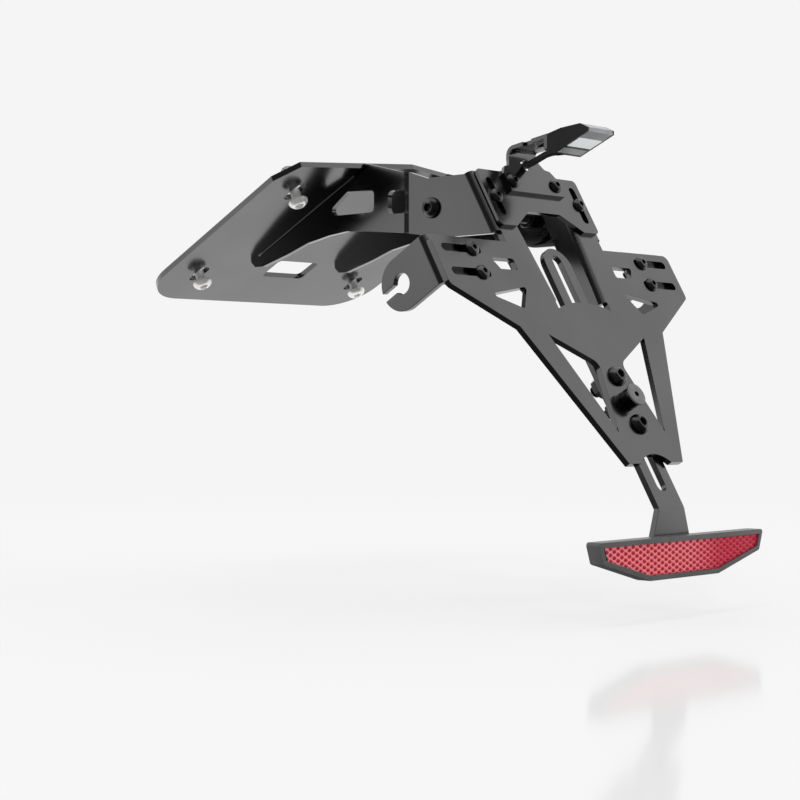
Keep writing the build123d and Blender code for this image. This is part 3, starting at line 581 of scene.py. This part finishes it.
def flatWasher(mesh, place, size, radius, thick):
    bore = size / 2 + holeLook["room"]
    edge = holeLook["ease"] * thick
    addRings(mesh, place, [
        circle(bore, -edge), circle(bore + edge, 0), circle(radius - edge, 0), circle(radius, -edge),
        circle(radius, -thick + edge), circle(radius - edge, -thick), circle(bore + edge, -thick),
        circle(bore, -thick + edge),
    ], closed=True)


def settle(piece, slot, *replaced):
    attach(piece, "root")
    if replaced:
        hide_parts(*replaced)


# the cord comes first: a short run of cable from the lamp's gland through the hole of its bracket
lampPlace = {"y": -167.127, "z": 29.036}
cableLook = {"radius": 1.7, "length": 39.9, "back": 2.0, "up": 2.7}
glandMouth = (lampPlace["y"] + cableLook["back"], lampPlace["z"] + cableLook["up"])
cableRoute = [(0, 0), (5.0, 0), (10.7, -2.0), (17.0, -4.5), (23.7, -5.7), (31.2, -6.5), (38.7, -8.7)]


def makeCable():
    curve = bpy.data.curves.new("lampCable", "CURVE")
    curve.dimensions = "3D"
    line = curve.splines.new("NURBS")
    line.points.add(len(cableRoute) - 1)
    for point, (back, up) in zip(line.points, cableRoute):
        point.co = (0, (glandMouth[0] + back) * mm, (glandMouth[1] + up) * mm, 1)
    line.order_u = 3
    line.use_endpoint_u = True
    line.resolution_u = 12
    curve.bevel_depth = cableLook["radius"] * mm
    curve.bevel_resolution = 6
    curve.use_fill_caps = True
    made = bpy.data.objects.new("lampCable", curve)
    scene.collection.objects.link(made)
    curve.materials.append(sheath)
    settle(made, "cable_sheath", "lamp_cable")


makeCable()
print("stage: cable")

# fasteners
m6 = {"size": 6.0, "headWidth": 10.5, "headHeight": 3.3, "key": 4.0, "pitch": 1.0}
m4 = {"size": 4.0, "headWidth": 7.6, "headHeight": 2.2, "key": 2.5, "pitch": 0.7}
m3 = {"size": 3.0, "headWidth": 5.7, "headHeight": 1.6, "key": 2.0, "pitch": 0.5}
nuts = {"m6": (6.0, 10.0, 5.0), "m5": (5.0, 8.0, 4.0), "m4": (4.0, 7.0, 3.2)}  # thread, width, height
lengths = {
    "mounting": 20.0, "ear": 12.0, "tower": 10.0, "bracket": 10.0, "bar": 16.0, "pivot": 20.0, "tab": 5.0,
}
mountingShank = {"plain": 8.2, "neck": 0.3}
sheets = {"base": 3.0, "holder": 3.0, "bar": 3.0, "lamp": 2.0}
washers = {"bar": 6.0, "stud": 5.0, "thick": 1.6}
spots = {
    "baseX": 59.0, "baseS": 42.5, "baseHang": 5.0, "earX": 66.0, "earPitch": 13.0,
    "towerX": 32.2, "towerY": 31.8, "mountX": 16.4, "mountY": 40.7, "barY": -81.6, "barPitch": 26.4,
    "headX": 41.6, "nutX": 35.6, "tabX": 7.0, "tabZ": 34.136, "footZ": -162.5,
}
signs = (-1, 1)
barBack = -sheets["holder"] - sheets["bar"]
nutBack = barBack - washers["thick"]


def faceRow(places, height):
    return [faceAt(x, y, height) for x, y in places]


def screwSet(name, node, places, kind, length, shank=None, slot="black_steel", finish=gloss):
    mesh = bmesh.new()
    for place in places:
        buttonScrew(mesh, place, length=length, **kind, **(shank or {}))
    settle(finishMesh(name, mesh, [finish]), slot, node)


def nutSet(name, node, places, sizes):
    mesh = bmesh.new()
    for place in places:
        hexNut(mesh, place, *sizes)
    settle(finishMesh(name, mesh, [gloss], "flat"), "black_steel", node)


hangHeight = -sheets["base"] - spots["baseHang"]
bolts = [
    standing(onSeat(x * spots["baseX"], s * spots["baseS"], hangHeight), -seatUp)
    for x in signs for s in signs
]
screwSet(
    "mountingBolts", "mounting_bolts", bolts, m6, lengths["mounting"],
    mountingShank, slot="stainless", finish=stainless,
)
ears = [(x * spots["earX"], y) for x in signs for y in (0, -spots["earPitch"])]
screwSet("earScrews", "ear_screws", faceRow(ears, 0), m4, lengths["ear"])
nutSet("earNuts", "ear_nuts", faceRow(ears, barBack), nuts["m4"])
towers = [(x * spots["towerX"], spots["towerY"]) for x in signs]
screwSet("towerScrews", "tower_screws", faceRow(towers, sheets["lamp"]), m4, lengths["tower"])
nutSet("towerNuts", "tower_nuts", faceRow(towers, -sheets["holder"]), nuts["m4"])
mounts = [(x * spots["mountX"], spots["mountY"]) for x in signs]
lampStack = 2 * sheets["lamp"]
screwSet("lampBracketScrews", "lamp_bracket_screws", faceRow(mounts, lampStack), m4, lengths["bracket"])
nutSet("lampBracketNuts", "lamp_bracket_nuts", faceRow(mounts, 0), nuts["m4"])
bars = [(0, spots["barY"] + s * spots["barPitch"] / 2) for s in signs]
screwSet("barBolts", "bar_bolts", faceRow(bars, 0), m6, lengths["bar"])
nutSet("barNuts", "bar_nuts", faceRow(bars, nutBack), nuts["m6"])
screwSet("pivotBolts", "pivot_bolts", [pivotAt(s, spots["headX"]) for s in signs], m6, lengths["pivot"])
nutSet("pivotNuts", "pivot_nuts", [pivotAt(s, spots["nutX"]) for s in signs], nuts["m6"])
tabY = lampPlace["y"] + sheets["lamp"]
tabs = [standing(Vector((s * spots["tabX"], tabY, spots["tabZ"])), Vector((0, 1, 0))) for s in signs]
screwSet("tabScrews", "tab_screws", tabs, m3, lengths["tab"])


def barWashers():
    mesh = bmesh.new()
    for place in faceRow(bars, barBack):
        flatWasher(mesh, place, nuts["m6"][0], washers["bar"], washers["thick"])
    settle(finishMesh("barWashers", mesh, [gloss], "flat"), "black_steel", "bar_washers")


barWashers()

# the nut on the reflector's stud bears on the back of the bar's foot
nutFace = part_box("reflector_nut")[0].y / mm
nutSet("reflectorNut", "reflector_nut", [
    standing(Vector((0, nutFace, spots["footZ"])), Vector((0, -1, 0))),
], nuts["m5"])

studLook = {
    "radius": 5.0, "height": 5.3, "bore": 2.6, "discRadius": 5.75, "discHeight": 1.0,
    "key": 2.5, "socket": 2.4, "size": 5.0, "pitch": 0.8, "plain": 5.0, "length": 20.0,
}


def makeStud():
    look = studLook
    place = faceAt(0, spots["barY"], 0)
    bore = look["bore"]
    top = look["height"]
    radius = look["radius"]
    spacer = bmesh.new()
    addRings(spacer, place, [  # rounded at the top, broken edge at the foot
        circle(bore, 0.0), circle(bore, top), circle(radius - 0.6, top), circle(radius - 0.25, top - 0.07),
        circle(radius - 0.06, top - 0.3), circle(radius, top - 0.6), circle(radius, 0.35),
        circle(radius - 0.1, 0.1), circle(radius - 0.35, 0.0),
    ], closed=True)
    settle(finishMesh("studSpacer", spacer, [gloss]), "black_steel", "stud_spacer")

    rise = top + look["discHeight"]
    wide = look["discRadius"]
    key = look["key"]
    corner = key / 2 / cos(pi / 6)
    shank = look["size"] / 2
    bottom = rise - look["socket"]
    end = top - look["length"]
    rings = [  # socket, disc and the root of the shank
        circle(0.1, bottom - 0.2), circle(0.40 * key, bottom - 0.05), hexagon(key, bottom),
        hexagon(key, rise - 0.12), circle(corner * 1.08, rise),
        circle(wide - 0.25, rise), circle(wide - 0.08, rise - 0.07), circle(wide, rise - 0.25),
        circle(wide, top + 0.2), circle(wide - 0.2, top),
        circle(shank + 0.05, top), circle(shank, top - 0.05),
    ]
    rings += thread(look["size"], look["pitch"], -look["plain"], end + 0.5)
    rings += [circle(shank - 0.55, end + 0.1), circle(shank - 0.7, end)]
    screw = bmesh.new()
    addRings(screw, place, rings)
    piece = finishMesh("studScrew", screw, [disc, gloss])
    inward = place.inverted()
    for face in piece.data.polygons:  # socket and shank are black, the disc is grey
        centre = inward @ face.center
        inSocket = centre.z < rise - 0.05 and hypot(centre.x, centre.y) < corner * 1.02
        if inSocket or centre.z < top - 0.1:
            face.material_index = 1
    settle(piece, "grey_disc", "stud_screw")

    back = bmesh.new()
    flatWasher(back, faceAt(0, spots["barY"], barBack), look["size"], washers["stud"], washers["thick"])
    hexNut(back, faceAt(0, spots["barY"], nutBack), *nuts["m5"])
    settle(finishMesh("studNut", back, [gloss], "flat"), "black_steel", "stud_nut")


makeStud()
print("stage: fasteners")

# prism lens: a lattice of low pyramids, cut to the tray's inside
lensLook = {
    "topHalf": 65.5, "midHalf": 62.0, "lowHalf": 27.2, "topZ": -153.7, "midDrop": 10.0, "height": 19.3,
    "wall": 2.4, "peak": 0.28,
}


def makeLens():
    look = lensLook
    low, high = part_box("reflector_lens")
    front = low.y / mm
    back = high.y / mm
    stepX = prismLook["pitchX"] / 2
    stepZ = prismLook["pitchZ"] / 2
    mesh = bmesh.new()
    left, right = floor(low.x / mm / stepX) - 1, ceil(high.x / mm / stepX) + 1
    base, top = floor(low.z / mm / stepZ) - 1, ceil(high.z / mm / stepZ) + 1
    grid = {}
    for i in range(left, right + 1):
        for j in range(base, top + 1):
            peak = look["peak"] if (i + j) % 2 == 0 else 0.0
            grid[i, j] = mesh.verts.new((i * stepX * mm, (front + look["peak"] - peak) * mm, j * stepZ * mm))
    for i in range(left, right):
        for j in range(base, top):
            a, b, c, d = grid[i, j], grid[i + 1, j], grid[i + 1, j + 1], grid[i, j + 1]
            if (i + j) % 2 == 0:
                mesh.faces.new((a, b, d))
                mesh.faces.new((b, c, d))
            else:
                mesh.faces.new((a, b, c))
                mesh.faces.new((a, c, d))
    # cut along the six sides of the outline, moved in by the wall
    half = [
        (look["topHalf"], look["topZ"]),
        (look["midHalf"], look["topZ"] - look["midDrop"]),
        (look["lowHalf"], look["topZ"] - look["height"]),
    ]
    outline = half + [(-x, z) for x, z in reversed(half)]
    for (ax, az), (bx, bz) in zip(outline, outline[1:] + outline[:1]):
        normal = Vector((-(bz - az), 0, bx - ax)).normalized()
        middle = Vector(((ax + bx) / 2, 0, (az + bz) / 2))
        if normal.dot(middle - Vector((0, 0, look["topZ"] - look["height"] / 2))) < 0:
            normal = -normal
        point = (middle - normal * look["wall"]) * mm
        bmesh.ops.bisect_plane(
            mesh, geom=mesh.verts[:] + mesh.edges[:] + mesh.faces[:], dist=1e-7,
            plane_co=point, plane_no=normal, clear_outer=True,
        )
    rim = [e for e in mesh.edges if e.is_boundary]
    grown = bmesh.ops.extrude_edge_only(mesh, edges=rim)["geom"]
    for vert in grown:
        if isinstance(vert, bmesh.types.BMVert):
            vert.co.y = back * mm
    rest = [e for e in mesh.edges if e.is_boundary]
    bmesh.ops.contextual_create(mesh, geom=rest)
    settle(finishMesh("reflectorLens", mesh, [prism], "facet"), "red_prism", "reflector_lens")


makeLens()
print("stage: reflector lens")

# board with its diodes behind the clear cover; foot and lip are the ends of the lamp's sloping underside
boardSize = {
    "in": 7.0, "out": 17.5, "up": 4.0, "thick": 1.0, "half": 9.2, "ease": 0.08, "pitch": 6.0,
    "foot": (4.1, 0.5), "lip": (25.0, 9.4),
}
# each part: width, depth, low and high side, eased edge, finish
boardParts = {
    "package": (3.5, 3.0, 0.0, 0.75, 0.1, 0), "dome": (2.9, 2.4, 0.75, 0.98, 0.1, 1),
    "lead": (0.5, 2.0, 0.0, 0.2, 0.08, 2), "resistor": (1.6, 0.8, 0.0, 0.45, 0.08, 3),
    "cap": (0.3, 0.85, 0.0, 0.46, 0.05, 2),
}
boardSpots = [
    ("package", 0, 0), ("dome", 0, 0), ("lead", -2.0, 0), ("lead", 2.0, 0),
    ("resistor", 0, 4.2), ("cap", -0.95, 4.2), ("cap", 0.95, 4.2),
]


def addBlock(mesh, place, wide, deep, low, high, bevel, index):
    # a plate or package with its upper edges eased
    outline = [(-wide / 2, -deep / 2), (wide / 2, -deep / 2), (wide / 2, deep / 2), (-wide / 2, deep / 2)]
    rows = []
    for inset, height in ((0, low), (0, high - bevel), (bevel, high)):
        ring = []
        for x, y in outline:
            shifted = (x - inset * (1 if x > 0 else -1), y - inset * (1 if y > 0 else -1), height)
            ring.append(mesh.verts.new(place @ Vector(shifted)))
        rows.append(ring)
    faces = [mesh.faces.new(list(reversed(rows[0]))), mesh.faces.new(rows[-1])]
    for lower, upper in zip(rows, rows[1:]):
        for k in range(4):
            faces.append(mesh.faces.new((lower[k], lower[(k + 1) % 4], upper[(k + 1) % 4], upper[k])))
    for face in faces:
        face.material_index = index


def underside(back, lift=0.0):
    # plane along the lamp's sloping underside, and how much longer a length is on it than seen from above
    (footBack, footUp), (lipBack, lipUp) = boardSize["foot"], boardSize["lip"]
    slope = (lipUp - footUp) / (lipBack - footBack)
    height = footUp + slope * (back - footBack) + lift
    origin = Vector((0, lampPlace["y"] - back, lampPlace["z"] + height))
    return standing(origin, Vector((0, -slope, -1))), sqrt(1 + slope**2)


def makeBoard():
    look = boardSize
    place, stretch = underside((look["in"] + look["out"]) / 2, look["up"])
    deep = (look["out"] - look["in"]) * stretch
    mesh = bmesh.new()
    addBlock(mesh, place, 2 * look["half"], deep, -look["thick"], 0.0, look["ease"], 0)
    for k in (-1, 0, 1):
        for part, x, y in boardSpots:
            spot = place @ Matrix.Translation((k * look["pitch"] + x, y, 0))
            addBlock(mesh, spot, *boardParts[part])
    settle(finishMesh("diodeBoard", mesh, [mask, glow, tin, gloss], "flat"), "lamp_board", "lamp_board")


makeBoard()

# frosted window in the cover's underside, with a dark gasket line in front of it
windowLook = {
    "front": 11.5, "rear": 19.0, "half": 8.9, "sunk": 0.4, "proud": 0.12, "ease": 0.1,
    "lineFront": 10.1, "lineRear": 11.2, "lineHalf": 9.2,
    "lineSunk": 0.3, "lineProud": 0.22, "lineEase": 0.08,
}


def makeWindow():
    look = windowLook
    mesh = bmesh.new()
    place, stretch = underside((look["front"] + look["rear"]) / 2)
    deep = (look["rear"] - look["front"]) * stretch
    addBlock(mesh, place, 2 * look["half"], deep, -look["sunk"], look["proud"], look["ease"], 0)
    place, stretch = underside((look["lineFront"] + look["lineRear"]) / 2)
    deep = (look["lineRear"] - look["lineFront"]) * stretch
    wide = 2 * look["lineHalf"]
    addBlock(mesh, place, wide, deep, -look["lineSunk"], look["lineProud"], look["lineEase"], 1)
    settle(finishMesh("diodeWindow", mesh, [frost, hood], "flat"), "clear_plastic")


makeWindow()
print("stage: diode board")

# solids shown as they are, with eased edges: each with its finish and the width of the edge
nodeFinish = {
    "base_bracket": (foldShaded, 0.30), "plate_holder": (coat, 0.30), "indicator_ear_left": (coat, 0.30),
    "indicator_ear_right": (coat, 0.30), "reflector_bar": (coat, 0.30), "lamp_plate": (coat, 0.25),
    "lamp_bracket": (coat, 0.25), "lamp_housing": (hood, 0.30), "lamp_glass": (clear, 0.0),
    "reflector_tray": (bezel, 0.30),
}
# join in millimetres, flat and sharp in degrees
edgeLook = {"join": 0.001, "flat": 0.2, "sharp": 35.0, "segments": 2, "weight": 90}


def dressNode(name, finish, edge):
    look = edgeLook
    node = nodes[name]
    if not node.material_slots:
        node.data.materials.append(finish)
    for slot in node.material_slots:
        slot.material = finish
    if edge > 0:
        join = node.modifiers.new("join", "WELD")
        join.merge_threshold = look["join"] * mm
        flatten = node.modifiers.new("flatten", "DECIMATE")  # flat sides as single faces, for clean edges
        flatten.decimate_type = "DISSOLVE"
        flatten.angle_limit = radians(look["flat"])
        ease = node.modifiers.new("ease", "BEVEL")
        ease.width = edge * mm
        ease.segments = look["segments"]
        ease.limit_method = "ANGLE"
        ease.angle_limit = radians(look["sharp"])
        ease.harden_normals = True
        even = node.modifiers.new("even", "WEIGHTED_NORMAL")  # flat sides stay flat beside their bends
        even.mode = "FACE_AREA"
        even.weight = look["weight"]
        even.keep_sharp = True


for name, (finish, edge) in nodeFinish.items():
    dressNode(name, finish, edge)
print("stage: nodes dressed")

# floor, backdrop and light
studio = {
    "floorZ": -193.0, "floorHalf": 9000.0, "white": 0.912, "ambient": 0.86, "mirror": 0.94,
    "floorGloss": 0.19, "floorBlur": 0.10, "floorShade": 0.35, "floorRough": 0.9,
    "darkSide": (-0.7238, -0.69, 0.05), "darkLevel": 0.07, "darkFrom": 0.10, "darkTo": 0.42,
    "darkTop": 0.72, "darkEnd": 0.94, "nearRadius": 0.40, "farRadius": 1.10,
    "floorDarkFrom": 0.00, "floorDarkTo": 0.13, "floorMirror": 1.25, "floorDark": 0.06,
}


def towardDark(finish, way):
    sockets = {0: way, 1: studio["darkSide"]}
    return finish.node("ShaderNodeVectorMath", {"operation": "DOT_PRODUCT"}, sockets, "Value")


def makeFloor():
    look = studio
    mesh = bmesh.new()
    half = look["floorHalf"] * mm
    corners = [(-half, -half), (half, -half), (half, half), (-half, half)]
    mesh.faces.new([mesh.verts.new((x, y, look["floorZ"] * mm)) for x, y in corners])
    finish = Finish("studioFloor", {
        "Base Color": grey(look["white"]), "Specular IOR Level": 0.0, "Roughness": look["floorRough"],
    })
    seen = finish.node("ShaderNodeLightPath", out="Is Camera Ray")
    mirrored = finish.node("ShaderNodeLightPath", out="Is Glossy Ray")
    # painted reflection: as the metal mirrors it, the floor glows brighter than white away from the camera's
    # side and nearly black toward it
    paintedMirrorGlow = towardDark(finish, finish.place()).step(
        look["floorDarkFrom"], look["floorDarkTo"], look["floorMirror"], look["floorDark"],
    )
    even = finish.node("ShaderNodeEmission", sockets={
        "Color": grey(look["white"]), "Strength": seen + mirrored * paintedMirrorGlow,
    })
    shade = Wire(finish, finish.surface.outputs[0])
    x, y = finish.axes()[:2]
    near = (x * x + y * y).power(0.5).step(look["nearRadius"], look["farRadius"], 1.0, 0.0)
    # plain white far off; close to the part shaded, with a soft mirror image; in what the metal mirrors, the
    # floor glows at the painted level set above
    flat = seen * (1 - near * look["floorShade"]) + mirrored
    plain = finish.node("ShaderNodeMixShader", sockets={0: flat, 1: shade, 2: even})
    gloss = finish.node("ShaderNodeBsdfGlossy", sockets={"Color": grey(1.0), "Roughness": look["floorBlur"]})
    share = seen * near * look["floorGloss"]
    both = finish.node("ShaderNodeMixShader", sockets={0: share, 1: plain, 2: gloss})
    finish.tree.links.new(both.socket, finish.output.inputs["Surface"])
    finishMesh("studioFloor", mesh, [finish.made])


def makeWorld():
    # white all round, with the dark side of the studio behind the camera for what the metal mirrors
    look = studio
    finish = Finish("studioWorld", {"Color": grey(1.0)}, world=True)
    seen = finish.node("ShaderNodeLightPath", out="Is Camera Ray")
    glossy = finish.node("ShaderNodeLightPath", out="Is Glossy Ray")
    passing = finish.node("ShaderNodeLightPath", out="Is Transmission Ray")
    way = finish.node("ShaderNodeTexCoord", out="Generated")
    toward = towardDark(finish, way)
    rise = finish.node("ShaderNodeSeparateXYZ", sockets={0: way}, out=2)
    low = rise.step(look["darkTop"], look["darkEnd"], 1.0, 0.0)
    dark = toward.step(look["darkFrom"], look["darkTo"]) * low
    mirrored = look["mirror"] - dark * (look["mirror"] - look["darkLevel"])
    shown = seen.greater(passing)
    lit = glossy * mirrored + (1 - glossy) * look["ambient"]
    finish.into("Strength", shown * look["white"] + (1 - shown) * lit)
    scene.world = finish.made


# lamps only light: neither the camera nor the metal sees them
lampAim = (0, -0.1, -0.05)
lamps = [
    {"name": "keyLamp", "place": (-0.85, -0.55, 1.25), "size": 0.20, "power": 3.0},
    {"name": "fillLamp", "place": (0.35, -1.25, 0.65), "size": 0.25, "power": 1.4},
    {"name": "lowLamp", "place": (-1.30, -0.25, -0.08), "size": 0.17, "power": 1.5},
    {"name": "rearLamp", "place": (0.9, 0.9, 1.0), "size": 0.8, "power": 3.0},
]


def makeLamps():
    aim = Vector(lampAim)
    for look in lamps:
        data = bpy.data.lights.new(look["name"], "AREA")
        data.size = look["size"]
        data.energy = look["power"]
        made = bpy.data.objects.new(look["name"], data)
        made.location = look["place"]
        made.visible_glossy = False
        made.visible_camera = False
        made.rotation_euler = (aim - made.location).to_track_quat("-Z", "Y").to_euler()
        scene.collection.objects.link(made)


makeFloor()
makeWorld()
makeLamps()
scene.view_settings.view_transform = "Standard"
print("stage: studio")
